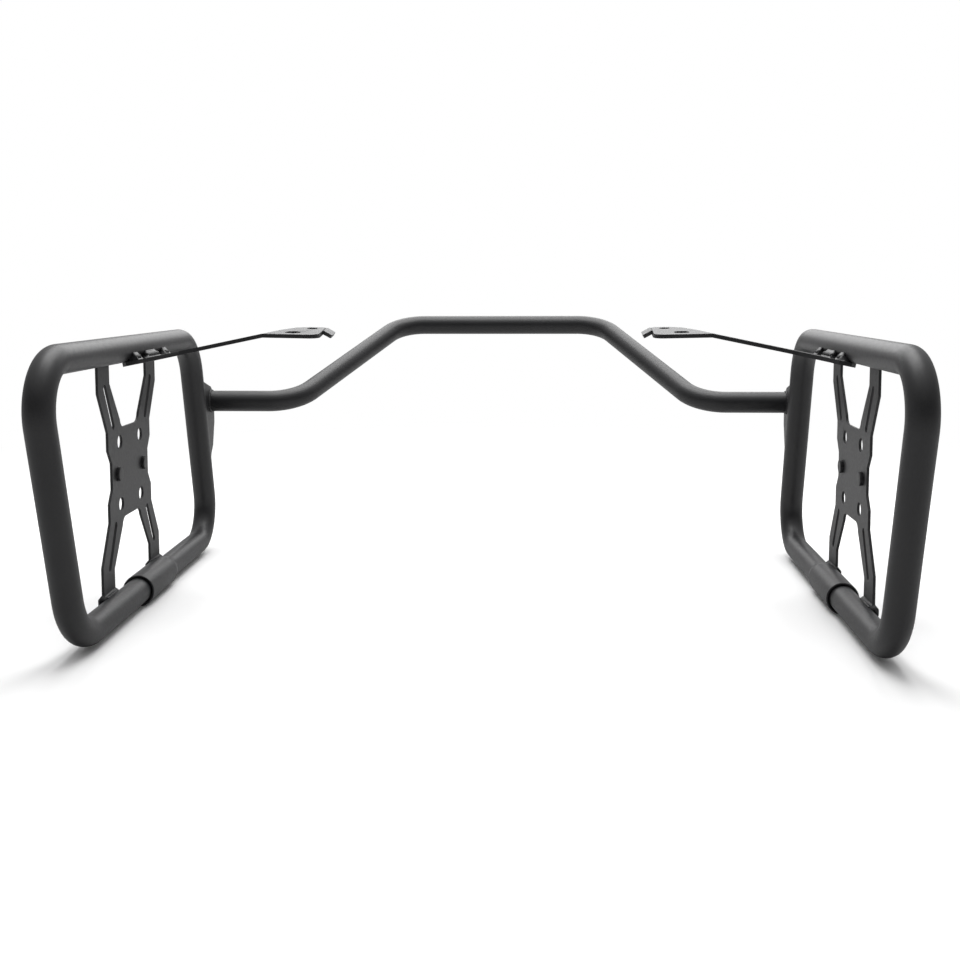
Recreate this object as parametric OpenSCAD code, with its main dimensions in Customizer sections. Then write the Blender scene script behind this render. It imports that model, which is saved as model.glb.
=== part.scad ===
// Saddlebag stay for a motorcycle: two bent tube hoops, each with a bag plate
// and a mounting arm, joined behind the tail by one bent crossbar.
// Millimetres, +Z up, +Y away from the camera, floor at Z 0. The origin lies on the
// floor at the middle of the whole stay's width and length.

/* [Hoops] */
// Outside diameter of the hoop tube
tube_d = 20; // [16:0.5:24]
// Wall of the hoop tube
tube_wall = 1.5; // [1:0.1:2]
// Length of a rail between the theoretical corners
rail_len = 350; // [290:1:430]
// Height between the rail axes
hoop_h = 190; // [158:1:230]
// How far the bottom rail sits behind the top rail
hoop_lean = 55; // [30:1:70]
// Bend radius of the two sharp corners, on the tube axis
sharp_bend_r = 32; // [28:1:36]
// Bend radius of the two open corners, on the tube axis
open_bend_r = 44; // [34:1:52]
// Distance between the two hoop centres
hoop_spacing = 543; // [450:1:660]
// Angle by which each hoop opens towards the back
toe = 1.55; // [0:0.05:3]

/* [Slip joint] */
// Distance of the socket mouth in front of the hoop centre
socket_front = 12; // [0:1:20]
// Length of the widened socket
socket_len = 62; // [50:1:74]
// Length of the taper behind the socket
socket_taper = 14; // [10:1:18]
// Gap round the inner tube at the socket's mouth
socket_gap = 0.8; // [0.4:0.1:1.2]

/* [Bag plate] */
// Thickness of the plate
plate_t = 2; // [1.5:0.1:3]
// Distance of the plate's middle outside the tube axes
plate_offset = 8; // [6:0.1:8.4]
// Half width of the waist
waist_half = 43; // [38:0.5:48]
// Half width of the shoulders
shoulder_half = 50; // [49:0.5:58]
// Half width over the feet
foot_half = 68; // [64:0.5:80]
// Width of one foot
foot_w = 24.5; // [20:0.5:30]
// Height above the plate's middle where the notch ends
notch_floor = 34.8; // [32:0.1:42]
// Half width of the notch at its floor
notch_half = 19.5; // [14:0.5:22]
// Radius of the notch's inner corners
notch_r = 8; // [4:0.5:10]
// Hole diameter in the square pattern
bag_hole_d = 10.5; // [8:0.1:12]
// Side of the square hole pattern
bag_hole_pitch = 48; // [40:0.5:57]
// Width of a strap slot
slot_w = 5; // [4:0.1:6]
// Length of a strap slot
slot_len = 39; // [32:0.5:46]
// Tilt of a strap slot from upright
slot_tilt = 28; // [24:0.5:32]

/* [Weld nuts] */
// Distance between the two weld nuts
nut_pitch = 60; // [50:0.5:72]
// Outside diameter of a weld nut
nut_d = 10.5; // [9:0.1:12]
// Height of a weld nut above the plate
nut_h = 2.6; // [2.2:0.1:4]
// Bore of the thread before tapping
nut_bore_d = 5; // [4.2:0.1:6]
// Depth of the threaded bore inside the nut
nut_bore_depth = 1.9; // [1.5:0.1:2.1]
// Depth of the relief at the thread's mouth
nut_relief = 0.3; // [0.2:0.1:0.5]
// Hole in the plate in front of the thread
nut_hole_d = 6.6; // [6.1:0.1:8]

/* [Mounting arms] */
// Thickness of the arm
arm_t = 3; // [2.5:0.1:4]
// Slope of the arm's neck above level
arm_slope = 11.8; // [8:0.1:15]
// Width of the root along the rail
root_w = 84; // [68:1:100]
// How far the full root width runs inwards
root_len = 12; // [10:0.5:16]
// Width of the neck
neck_w = 24; // [20:0.5:30]
// Distance from the rail axis to the bend, along the neck
bend_at = 104.7; // [90:0.1:125]
// Skew of the bend line
bend_skew = 21.5; // [10:0.5:26]
// Angle of the bend
bend_angle = 13.9; // [9:0.1:17]
// Distance of the palm's back edge behind the neck's middle
palm_back = 35; // [30:0.5:42]
// Length of the palm beyond the bend
palm_len = 39; // [36:0.5:46]
// Corner radius of the palm
palm_r = 8; // [5:0.5:10]
// Diameter of the main bolt hole in the palm
palm_hole_d = 12; // [10:0.1:14]
// Distance of the main hole beyond the bend
palm_hole_at = 17; // [14:0.5:20]
// Distance of the main hole behind the neck's middle
palm_hole_back = 1; // [0:0.5:3]
// Diameter of the second hole
second_hole_d = 8.5; // [6:0.1:9]
// Distance of the second hole beyond the bend
second_hole_at = 28; // [24:0.5:30]
// Distance of the second hole in front of the palm's back edge
second_hole_edge = 8; // [7:0.5:11]
// Width of the tongue
tongue_w = 20; // [16:0.5:24]
// Length of the tongue
tongue_len = 7; // [6:0.5:9]
// Distance of the tongue in front of the palm's back edge
tongue_edge = 2; // [2:0.5:6]
// Angle by which the tongue bends down
tongue_angle = 28; // [15:1:35]

/* [Crossbar] */
// Distance of the crossbar ends behind the hoop centre
bar_y = 219; // [200:1:240]
// Height of the crossbar ends above the hoop centre
bar_z = 32; // [20:1:44]
// Half width between the lower bends
bar_low_half = 193; // [170:1:215]
// Half width between the upper bends
bar_top_half = 111; // [95:1:125]
// How far the raised middle sits behind the ends
bar_back = 184; // [150:1:221]
// How far the raised middle sits above the ends
bar_rise = 68; // [56:1:82]
// Bend radius of the crossbar, on the tube axis
bar_bend_r = 40; // [32:1:48]

/* [Brackets] */
// Thickness of a bracket
bracket_t = 3; // [2.5:0.1:4]
// Rim of the bracket round the crossbar's end
bracket_rim = 1; // [0.7:0.1:2]
// Reach of the bracket above the crossbar axis, at the hoop
bracket_up = 30; // [24:1:36]
// Reach of the bracket below the crossbar axis, at the hoop
bracket_down = 80; // [66:1:90]

/* [Welds] */
// Leg of a weld bead
weld_leg = 3; // [2:0.1:3.5]
// Length of the middle bead between an arm and its rail
arm_weld_len = 30; // [25:1:36]
// Length of the two short beads at the ends of an arm's root
end_weld_len = 11; // [9:0.5:13]

/* [Hidden] */
$fn = 64;
eps = 0.01;
tube_r = tube_d / 2;
// Faint ring at each end of a bend
mark_w = 1;
mark_h = 0.1;
half_h = hoop_h / 2;
half_rail = rail_len / 2;
// Leaning uprights: angle from vertical
lean_angle = atan2(hoop_lean, hoop_h);
socket_r = tube_r + socket_gap + tube_wall;
// How deep the gap round the inner tube can be seen
gap_depth = 3;
hoop_x = hoop_spacing / 2;
hoop_z = half_h + socket_r;
// Theoretical corners in the hoop's own plane, [along the rail, up]
near_top = [-half_rail - hoop_lean / 2, half_h];
far_top = [half_rail - hoop_lean / 2, half_h];
far_low = [half_rail + hoop_lean / 2, -half_h];
near_low = [-half_rail + hoop_lean / 2, -half_h];

// Place along the far upright's axis at a height above the hoop centre
function upright_at(up) = far_top[0] + (half_h - up) * tan(lean_angle);
// Front and back end of the whole stay, measured from the hoop centre
front_end = (near_top[0] + setback(sharp_bend_r, 90 + lean_angle) - sharp_bend_r) * cos(toe) - tube_r;
back_end = bar_y + bar_back + tube_r + mark_h;
mid_y = (front_end + back_end) / 2;

// Direction of a vector in degrees
function heading(v) = atan2(v[1], v[0]);
// Distance from a corner to where its bend starts, for a turn of that many degrees
function setback(r, turn) = r * tan(turn / 2);

// One side of the stay stands in this frame: X inwards, Y along the rails, Z up,
// origin at the hoop centre. The right side is the mirror image of the left.
module left_side() {
    translate([-hoop_x, -mid_y, hoop_z])
        rotate([0, 0, toe])
            children();
}

module right_side() {
    mirror([1, 0, 0])
        left_side()
            children();
}

// Bent tube: straight legs and round bends between corners in the XY plane

module tube_section(r) {
    difference() {
        circle(r = r);
        circle(r = tube_r - tube_wall);
    }
}

// A bender's clamp leaves a faint ring where a bend starts and ends
module clamp_mark() {
    linear_extrude(mark_w, center = true)
        difference() {
            circle(r = tube_r + mark_h);
            circle(r = tube_r - tube_wall - mark_h);
        }
}

module leg(from, to, cut_from, cut_to) {
    run = norm(to - from) - cut_from - cut_to;
    translate([from[0], from[1], 0])
        rotate([0, 0, heading(to - from)])
            translate([cut_from, 0, 0])
                rotate([0, 90, 0]) {
                    linear_extrude(run)
                        tube_section(tube_r);
                    if (cut_from > 0)
                        clamp_mark();
                    if (cut_to > 0)
                        translate([0, 0, run])
                            clamp_mark();
                }
}

module bend(before, corner, after, bend_r) {
    start = heading(corner - before);
    raw = heading(after - corner) - start;
    turn = raw > 180 ? raw - 360 : (raw < -180 ? raw + 360 : raw);
    side = sign(turn);
    translate([corner[0], corner[1], 0])
        rotate([0, 0, start])
            translate([-setback(bend_r, abs(turn)), side * bend_r, 0])
                rotate([0, 0, side > 0 ? -90 : 90 - abs(turn)])
                    rotate_extrude(angle = abs(turn))
                        translate([bend_r, 0])
                            tube_section(tube_r);
}

// Widened end of the tube that the other end slides into, on the bottom rail
module socket() {
    bore_r = tube_r - tube_wall;
    gap_r = tube_r + socket_gap;
    rotate([0, 90, 0])
        rotate_extrude()
            polygon([
                [bore_r, 0],
                [tube_r, 0],
                [tube_r, gap_depth],
                [gap_r, gap_depth],
                [gap_r, 0],
                [socket_r, 0],
                [socket_r, socket_len],
                [tube_r, socket_len + socket_taper],
                [bore_r, socket_len + socket_taper]
            ]);
}

// The hoop as a closed run in the side frame's YZ plane
module hoop() {
    sharp = setback(sharp_bend_r, 90 + lean_angle);
    open = setback(open_bend_r, 90 - lean_angle);
    mouth = [-socket_front, -half_h];
    socket_end = mouth + [socket_len + socket_taper, 0];
    rotate([90, 0, 90]) {
        leg(near_low, mouth, open, 0);
        translate([mouth[0], mouth[1], 0])
            socket();
        leg(socket_end, far_low, 0, sharp);
        leg(far_low, far_top, sharp, open);
        leg(far_top, near_top, open, sharp);
        leg(near_top, near_low, sharp, open);
        bend(near_top, near_low, far_low, open_bend_r);
        bend(near_low, far_low, far_top, sharp_bend_r);
        bend(far_low, far_top, near_top, open_bend_r);
        bend(far_top, near_top, near_low, sharp_bend_r);
    }
}

// Room that the two rails and the socket take up
module rails() {
    translate([0, -socket_front, -half_h])
        rotate([-90, 0, 0]) {
            cylinder(r = socket_r, h = socket_len);
            translate([0, 0, socket_len])
                cylinder(r1 = socket_r, r2 = tube_r, h = socket_taper);
        }
    for (i = [-1, 1])
        translate([0, 0, i * half_h])
            rotate([90, 0, 0])
                cylinder(r = tube_r, h = rail_len - 2 * open_bend_r, center = true);
}

// Room that the far upright takes up
module far_upright() {
    translate([0, upright_at(0), 0])
        rotate([lean_angle, 0, 0])
            cylinder(r = tube_r, h = hoop_h, center = true);
}

// Bag plate, drawn in the hoop's plane

// One quarter of the outline, from the waist to the foot
quarter = [
    [waist_half, 10],
    [shoulder_half, 13 + shoulder_half - waist_half],
    [shoulder_half, notch_floor - 1],
    [foot_half, 64],
    [foot_half, half_h]
];

function flip(points, x, y) = [for (q = points) [x * q[0], y * q[1]]];
function backwards(points) = [for (i = [len(points) - 1:-1:0]) points[i]];

module blank_outline() {
    polygon(concat(
        quarter,
        flip(backwards(quarter), -1, 1),
        flip(quarter, -1, -1),
        flip(backwards(quarter), 1, -1)
    ));
}

module notch() {
    inner = foot_half - foot_w;
    polygon([
        [-notch_half + notch_r * 0.6, notch_floor],
        [notch_half - notch_r * 0.6, notch_floor],
        [notch_half + notch_r * 0.35, notch_floor + notch_r * 0.75],
        [inner, 70],
        [inner, half_h + 1],
        [-inner, half_h + 1],
        [-inner, 70],
        [-notch_half - notch_r * 0.35, notch_floor + notch_r * 0.75]
    ]);
    for (s = [-1, 1])
        translate([s * (notch_half - notch_r * 0.6), notch_floor + notch_r])
            circle(r = notch_r);
}

module strap_slot() {
    run = slot_len - slot_w;
    for (s = [-1, 1])
        translate([0, s * run / 2])
            circle(d = slot_w);
    square([slot_w, run], center = true);
}

// Middle of the upper back strap slot
slot_mid = [46, 52.6];

module bag_plate_outline() {
    difference() {
        blank_outline();
        notch();
        mirror([0, 1]) notch();
        for (i = [-1, 1]) {
            for (j = [-1, 1]) {
                translate([i * bag_hole_pitch / 2, j * bag_hole_pitch / 2])
                    circle(d = bag_hole_d);
                translate([i * slot_mid[0], j * slot_mid[1]])
                    rotate(-i * j * slot_tilt)
                        strap_slot();
            }
            translate([i * nut_pitch / 2, 0])
                circle(d = nut_hole_d);
        }
    }
}

module bag_plate() {
    difference() {
        translate([-plate_offset - plate_t / 2, 0, 0])
            rotate([90, 0, 90])
                linear_extrude(plate_t)
                    bag_plate_outline();
        rails();
    }
}

module weld_nuts() {
    for (i = [-1, 1])
        translate([-plate_offset + plate_t / 2, i * nut_pitch / 2, 0])
            rotate([0, 90, 0])
                difference() {
                    cylinder(d = nut_d, h = nut_h);
                    translate([0, 0, -eps])
                        cylinder(d = nut_bore_d, h = nut_bore_depth + eps);
                    translate([0, 0, -eps])
                        cylinder(d = nut_bore_d + 1, h = nut_relief + eps);
                }
}

// Beads that run round each foot where it stands on a rail
module foot_bead() {
    reach = tube_r - 2;
    // the rail falls away outside the plate, so the outer bead is thin and tall
    thin = 0.75 * weld_leg;
    end_leg = 0.5 * weld_leg;
    intersection() {
        rotate([90, 0, 0])
            linear_extrude(foot_w + 4 * weld_leg, center = true)
                polygon([
                    [-plate_t / 2 - thin / 2, reach],
                    [-plate_t / 2 - thin, reach / 2],
                    [-plate_t / 2 - thin, 0],
                    [-plate_t / 2, -weld_leg],
                    [plate_t / 2, -weld_leg],
                    [plate_t / 2 + weld_leg, 0],
                    [plate_t / 2 + weld_leg, reach]
                ]);
        rotate([90, 0, 90])
            linear_extrude(plate_t + 4 * weld_leg, center = true)
                polygon([
                    [-foot_w / 2 - end_leg, reach],
                    [-foot_w / 2 - end_leg, 0],
                    [-foot_w / 2, -weld_leg],
                    [foot_w / 2, -weld_leg],
                    [foot_w / 2 + end_leg, 0],
                    [foot_w / 2 + end_leg, reach]
                ]);
    }
}

module plate_welds() {
    // height of the tube's surface above the rail axis at the plate's inner face
    seat = sqrt(pow(tube_r, 2) - pow(plate_offset - plate_t / 2, 2));
    difference() {
        for (i = [-1, 1])
            for (j = [0, 1])
                mirror([0, 0, j])
                    translate([-plate_offset, i * (foot_half - foot_w / 2), half_h - seat - 1])
                        foot_bead();
        rails();
        translate([-plate_offset - plate_t / 2, 0, 0])
            rotate([90, 0, 90])
                linear_extrude(plate_t)
                    bag_plate_outline();
    }
}

// Mounting arm. Its frame: origin on the top rail's axis, X up the slope inwards.

module arm_frame() {
    translate([0, 0, half_h])
        rotate([0, -arm_slope, 0])
            children();
}

skew = tan(bend_skew);

// The arm seen along its neck's thickness: root, neck and palm
module arm_outline() {
    half = neck_w / 2;
    end = bend_at + palm_len * cos(bend_angle);
    difference() {
        polygon([
            [-1, -root_w / 2 + 4],
            [3, -root_w / 2],
            [root_len, -root_w / 2],
            [root_len + 24, -half - 4],
            [root_len + 34, -half],
            [end, -half],
            [end, palm_back - 2],
            [end - 2, palm_back],
            [bend_at + 24, palm_back],
            [bend_at + 15, palm_back - 5],
            [bend_at + half * skew, half],
            [root_len + 34, half],
            [root_len + 24, half + 4],
            [root_len, root_w / 2],
            [3, root_w / 2],
            [-1, root_w / 2 - 4]
        ]);
        // round the palm's front corner
        difference() {
            translate([end - palm_r, -half - 1])
                square([palm_r + 1, palm_r + 1]);
            translate([end - palm_r, -half + palm_r])
                circle(r = palm_r);
        }
    }
}

// Everything beyond the skewed bend turns about the bend line on the lower face
module beyond_bend() {
    translate([bend_at, 0, -tube_r - arm_t])
        rotate([0, 0, -bend_skew])
            rotate([0, bend_angle, 0])
                rotate([0, 0, bend_skew])
                    translate([-bend_at, 0, 0])
                        children();
}

// Side view of a flat strip that bends down at X 0
module bent_profile(before, after, turn) {
    top = arm_t * tan(turn / 2);
    tip = [after * cos(turn), -after * sin(turn)];
    polygon([
        [-before, 0],
        [0, 0],
        tip,
        tip + arm_t * [sin(turn), cos(turn)],
        [top, arm_t],
        [-before, arm_t]
    ]);
}

// The tongue hangs from the palm's inner edge
module tongue() {
    // a little thinner than the palm, so that its round root stays inside
    thick = arm_t - 0.1;
    translate([0, 0, arm_t / 2])
        intersection() {
            rotate([90, 0, 0])
                linear_extrude(tongue_w, center = true) {
                    circle(d = thick);
                    rotate(-tongue_angle)
                        translate([0, -thick / 2])
                            square([tongue_len, thick]);
                }
            rotate([0, tongue_angle, 0])
                linear_extrude(4 * arm_t, center = true)
                    polygon([
                        [-arm_t, -tongue_w],
                        [tongue_len - 4, -tongue_w],
                        [tongue_len + 1, -tongue_w / 2 + 5],
                        [tongue_len + 1, tongue_w / 2 - 5],
                        [tongue_len - 4, tongue_w],
                        [-arm_t, tongue_w]
                    ]);
        }
}

module arm() {
    end = bend_at + palm_len;
    long = 2 * end;
    arm_frame() {
        difference() {
            intersection() {
                translate([bend_at, 0, -tube_r - arm_t])
                    rotate([0, 0, -bend_skew])
                        rotate([90, 0, 0])
                            linear_extrude(3 * root_w, center = true)
                                bent_profile(long, long, bend_angle);
                linear_extrude(8 * tube_d, center = true)
                    arm_outline();
            }
            beyond_bend() {
                translate([bend_at + palm_hole_at, palm_hole_back, 0])
                    cylinder(d = palm_hole_d, h = 6 * arm_t, center = true);
                translate([bend_at + second_hole_at, palm_back - second_hole_edge, 0])
                    cylinder(d = second_hole_d, h = 6 * arm_t, center = true);
            }
        }
        beyond_bend()
            translate([end, palm_back - tongue_edge - tongue_w / 2, 0])
                tongue();
    }
}

// One bead in the crevice between the rail and the top of the arm
module crevice_bead(length) {
    foot = tube_r + weld_leg;
    slant = min(8, length / 4);
    intersection() {
        rotate([90, 0, 0])
            linear_extrude(length, center = true)
                polygon([[0, -tube_r], [foot, -tube_r], [tube_r, -tube_r * 0.4], [0, -tube_r * 0.4]]);
        rotate([90, 0, 90])
            linear_extrude(2 * foot)
                polygon([
                    [-length / 2, -tube_r],
                    [length / 2, -tube_r],
                    [length / 2 - slant, 0],
                    [-length / 2 + slant, 0]
                ]);
    }
}

module arm_weld() {
    arm_frame()
        difference() {
            union() {
                crevice_bead(arm_weld_len);
                for (i = [-1, 1])
                    translate([0, i * (root_w - end_weld_len - 1) / 2, 0])
                        crevice_bead(end_weld_len);
            }
            rotate([90, 0, 0])
                cylinder(r = tube_r, h = root_w + 2, center = true);
        }
}

// Brackets behind the far uprights carry the crossbar's ends

module bracket_outline() {
    back = bar_y + tube_r + bracket_rim;
    rim = tube_r + bracket_rim;
    top = bar_z + bracket_up;
    low = bar_z - bracket_down;
    polygon([
        [upright_at(top), top],
        [bar_y, bar_z + rim + 3],
        [bar_y + 4, bar_z + rim],
        [back, bar_z + 4],
        [back, bar_z - 2 * rim],
        [back - 2, bar_z - 2 * rim - 5],
        [back - 7, bar_z - 4 * rim],
        [back - 13, bar_z - 4 * rim - 6],
        [upright_at(low) + tube_r + 6, low + 4],
        [upright_at(low), low]
    ]);
}

module bracket() {
    difference() {
        translate([-bracket_t / 2, 0, 0])
            rotate([90, 0, 90])
                linear_extrude(bracket_t)
                    bracket_outline();
        far_upright();
    }
}

module bracket_welds() {
    // beads run up both faces of the bracket, along the leaning upright
    top = bar_z + bracket_up - 8;
    low = bar_z - bracket_down + 8;
    run = (top - low) / cos(lean_angle);
    difference() {
        translate([0, upright_at(low), low])
            rotate([lean_angle, 0, 0])
                for (i = [0, 1])
                    mirror([i, 0, 0])
                        linear_extrude(run)
                            polygon([
                                [bracket_t / 2, tube_r - 1],
                                [bracket_t / 2 + weld_leg, tube_r - 1],
                                [bracket_t / 2, tube_r + weld_leg]
                            ]);
        far_upright();
    }
}

// Crossbar: one flat bent tube that rises towards the back

bar_reach = norm([bar_back, bar_rise]);
bar_tilt = atan2(bar_rise, bar_back);

module bar_frame() {
    translate([0, bar_y - mid_y, hoop_z + bar_z])
        rotate([bar_tilt, 0, 0])
            children();
}

// Everything outside the bracket's inner face, about the crossbar's end
module outside_bracket() {
    room = 4 * tube_d;
    translate([bracket_t / 2 - room, bar_y - room / 2, bar_z - room / 2])
        cube(room);
}

module crossbar() {
    end = hoop_x + tube_d;
    back = setback(bar_bend_r, heading([bar_low_half - bar_top_half, bar_reach]));
    p0 = [-end, 0];
    p1 = [-bar_low_half, 0];
    p2 = [-bar_top_half, bar_reach];
    p3 = [bar_top_half, bar_reach];
    p4 = [bar_low_half, 0];
    p5 = [end, 0];
    difference() {
        bar_frame()
            leg(p0, p1, 0, back);
        left_side()
            outside_bracket();
    }
    difference() {
        bar_frame()
            leg(p4, p5, back, 0);
        right_side()
            outside_bracket();
    }
    bar_frame() {
        bend(p0, p1, p2, bar_bend_r);
        leg(p1, p2, back, back);
        bend(p1, p2, p3, bar_bend_r);
        leg(p2, p3, back, back);
        bend(p2, p3, p4, bar_bend_r);
        leg(p3, p4, back, back);
        bend(p3, p4, p5, bar_bend_r);
    }
}

// Bead round the end of the crossbar on the bracket's inner face
module crossbar_weld() {
    inside = bracket_t / 2;
    leg = 0.5 * weld_leg;
    difference() {
        left_side()
            translate([inside, bar_y, bar_z])
                rotate([0, 90, 0])
                    cylinder(r1 = tube_r + leg - 0.3, r2 = tube_r - 0.2, h = leg);
        translate([-bar_low_half, bar_y - mid_y, hoop_z + bar_z])
            rotate([0, -90, 0])
                cylinder(r = tube_r, h = hoop_spacing);
    }
}

module hoop_left() {
    color("dimgray") left_side() hoop();
}

module hoop_right() {
    color("dimgray") right_side() hoop();
}

module bag_plate_left() {
    color("slategray") left_side() bag_plate();
}

module bag_plate_right() {
    color("slategray") right_side() bag_plate();
}

module weld_nuts_left() {
    color("silver") left_side() weld_nuts();
}

module weld_nuts_right() {
    color("silver") right_side() weld_nuts();
}

module arm_left() {
    color("steelblue") left_side() arm();
}

module arm_right() {
    color("steelblue") right_side() arm();
}

module bracket_left() {
    color("peru") left_side() bracket();
}

module bracket_right() {
    color("peru") right_side() bracket();
}

module plate_welds_left() {
    color("darkkhaki") left_side() plate_welds();
}

module plate_welds_right() {
    color("darkkhaki") right_side() plate_welds();
}

module arm_weld_left() {
    color("darkkhaki") left_side() arm_weld();
}

module arm_weld_right() {
    color("darkkhaki") right_side() arm_weld();
}

module bracket_welds_left() {
    color("darkkhaki") left_side() bracket_welds();
}

module bracket_welds_right() {
    color("darkkhaki") right_side() bracket_welds();
}

module crossbar_weld_left() {
    color("darkkhaki") crossbar_weld();
}

module crossbar_weld_right() {
    color("darkkhaki") mirror([1, 0, 0]) crossbar_weld();
}

hoop_left();
hoop_right();
bag_plate_left();
bag_plate_right();
weld_nuts_left();
weld_nuts_right();
arm_left();
arm_right();
bracket_left();
bracket_right();
color("gray") crossbar();
plate_welds_left();
plate_welds_right();
arm_weld_left();
arm_weld_right();
bracket_welds_left();
bracket_welds_right();
crossbar_weld_left();
crossbar_weld_right();
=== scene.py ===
"""Looks of a saddlebag stay: two bent tube hoops with bag plates and arms, and a crossbar.

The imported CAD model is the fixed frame. This script sweeps the tubes smoothly, softens the
edges of the sheet parts, cuts real threads into the weld nuts, lays ripples on the weld beads
and coats everything in fine black powder coat. Sizes are in millimetres and become metres
when a mesh is made; the lamps and the floor are in metres.
"""

import logging
import math
from dataclasses import dataclass, field
from enum import Enum

import bmesh
import bpy
from mathutils import Matrix, Vector


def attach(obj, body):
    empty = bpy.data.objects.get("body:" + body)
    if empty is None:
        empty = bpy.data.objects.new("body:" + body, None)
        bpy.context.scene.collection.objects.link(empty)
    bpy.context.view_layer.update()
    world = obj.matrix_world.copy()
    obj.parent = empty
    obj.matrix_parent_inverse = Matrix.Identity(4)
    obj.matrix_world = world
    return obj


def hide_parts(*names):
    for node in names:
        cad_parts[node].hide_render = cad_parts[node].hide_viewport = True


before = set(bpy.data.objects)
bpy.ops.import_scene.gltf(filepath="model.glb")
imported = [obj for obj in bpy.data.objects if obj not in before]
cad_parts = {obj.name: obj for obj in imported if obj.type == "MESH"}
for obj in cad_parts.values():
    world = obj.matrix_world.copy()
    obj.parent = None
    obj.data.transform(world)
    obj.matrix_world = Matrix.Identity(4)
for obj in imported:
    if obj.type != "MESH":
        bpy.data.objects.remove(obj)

LOG = logging.getLogger("saddlebag_stay")
MM = 0.001
MERGE_M = 2e-6
PHOTO_PX = 960.0


class Side(Enum):
    """A side of the stay, as the sign of X on which it stands."""

    LEFT = -1
    RIGHT = 1

    @property
    def word(self) -> str:
        """The side's name as the CAD nodes end with it."""
        return self.name.lower()


@dataclass(frozen=True)
class StaySizes:
    """Driving sizes of the stay in millimetres, as part.scad has them."""

    tube_r: float = 10.0
    hoop_h: float = 190.0
    rail_len: float = 350.0
    hoop_lean: float = 55.0
    sharp_bend_r: float = 32.0
    open_bend_r: float = 44.0
    hoop_spacing: float = 543.0
    toe_deg: float = 1.55
    tube_wall: float = 1.5
    clamp_mark: float = 0.1
    socket_gap: float = 0.8
    socket_front: float = 12.0
    socket_len: float = 62.0
    socket_taper: float = 14.0
    gap_depth: float = 3.0
    plate_offset: float = 8.0
    plate_t: float = 2.0
    foot_half: float = 68.0
    foot_w: float = 24.5
    nut_pitch: float = 60.0
    nut_d: float = 10.5
    nut_h: float = 2.6
    nut_bore_d: float = 5.0
    nut_bore_depth: float = 1.9
    nut_relief: float = 0.3
    arm_slope_deg: float = 11.8
    root_w: float = 84.0
    arm_weld_len: float = 30.0
    end_weld_len: float = 11.0
    bracket_t: float = 3.0
    bracket_up: float = 30.0
    bracket_down: float = 80.0
    bar_y: float = 219.0
    bar_z: float = 32.0
    bar_low_half: float = 193.0
    bar_top_half: float = 111.0
    bar_back: float = 184.0
    bar_rise: float = 68.0
    bar_bend_r: float = 40.0

    @property
    def half_h(self) -> float:
        """Height of a rail's axis above the hoop's centre."""
        return self.hoop_h / 2

    @property
    def socket_r(self) -> float:
        """Outside radius of the socket."""
        return self.tube_r + self.socket_gap + self.tube_wall

    @property
    def hoop_z(self) -> float:
        """Height of the hoop's centre above the floor."""
        return self.half_h + self.socket_r

    @property
    def lean(self) -> float:
        """Lean of the uprights from vertical, in radians."""
        return math.atan2(self.hoop_lean, self.hoop_h)

    @property
    def mid_y(self) -> float:
        """Place of the whole stay's middle, measured behind the hoops' centre."""
        bend = self.sharp_bend_r * (math.tan((math.pi / 2 + self.lean) / 2) - 1)
        reach = bend - (self.rail_len + self.hoop_lean) / 2
        front = reach * math.cos(math.radians(self.toe_deg)) - self.tube_r
        back = self.bar_y + self.bar_back + self.tube_r + self.clamp_mark
        return (front + back) / 2

    def upright_at(self, up: float) -> float:
        """Place along the hoop of the far upright's axis.

        Args:
            up: Height above the hoop's centre.

        Returns:
            Distance behind the hoop's centre.
        """
        top = self.rail_len / 2 - self.hoop_lean / 2
        return top + (self.half_h - up) * self.hoop_lean / self.hoop_h

    def side_matrix(self, side: Side) -> Matrix:
        """Matrix from a side's own frame to the stay's.

        The side's frame has X inwards, Y along the rails and Z up, with its origin at the
        hoop's centre.

        Args:
            side: Which side of the stay.

        Returns:
            A matrix that takes millimetres in the side's frame to metres.
        """
        left = (
            Matrix.Scale(MM, 4)
            @ Matrix.Translation((-self.hoop_spacing / 2, -self.mid_y, self.hoop_z))
            @ Matrix.Rotation(math.radians(self.toe_deg), 4, "Z")
        )
        if side is Side.LEFT:
            return left
        return Matrix.Diagonal((-1.0, 1.0, 1.0, 1.0)) @ left


SIZES = StaySizes()


# Meshes


def make_piece(
    name: str, points: list[Vector], faces: list[tuple[int, ...]], place: Matrix, smooth_deg: float = 35.0
) -> bpy.types.Object:
    """Makes a closed smooth-shaded mesh object at the origin.

    Args:
        name: Name of the piece.
        points: Corners in millimetres.
        faces: Corner numbers of each face.
        place: Matrix from millimetres to the stay's frame in metres.
        smooth_deg: Edges sharper than this stay sharp.

    Returns:
        The new object.
    """
    mesh = bpy.data.meshes.new(name)
    mesh.from_pydata([place @ p for p in points], [], faces)
    work = bmesh.new()
    work.from_mesh(mesh)
    bmesh.ops.recalc_face_normals(work, faces=work.faces[:])
    work.to_mesh(mesh)
    work.free()
    mesh.shade_smooth()
    mesh.set_sharp_from_angle(angle=math.radians(smooth_deg))
    piece = bpy.data.objects.new(name, mesh)
    bpy.context.scene.collection.objects.link(piece)
    return piece


def finish_piece(piece: bpy.types.Object, coat: bpy.types.Material, *nodes: str) -> None:
    """Coats a piece, lets it ride on the stay and stand for its CAD nodes.

    Args:
        piece: The piece.
        coat: Its finish.
        *nodes: CAD nodes that it replaces.
    """
    piece.data.materials.clear()
    piece.data.materials.append(coat)
    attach(piece, "root")
    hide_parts(*nodes)
    LOG.info("%s: %d faces", piece.name, len(piece.data.polygons))


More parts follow.
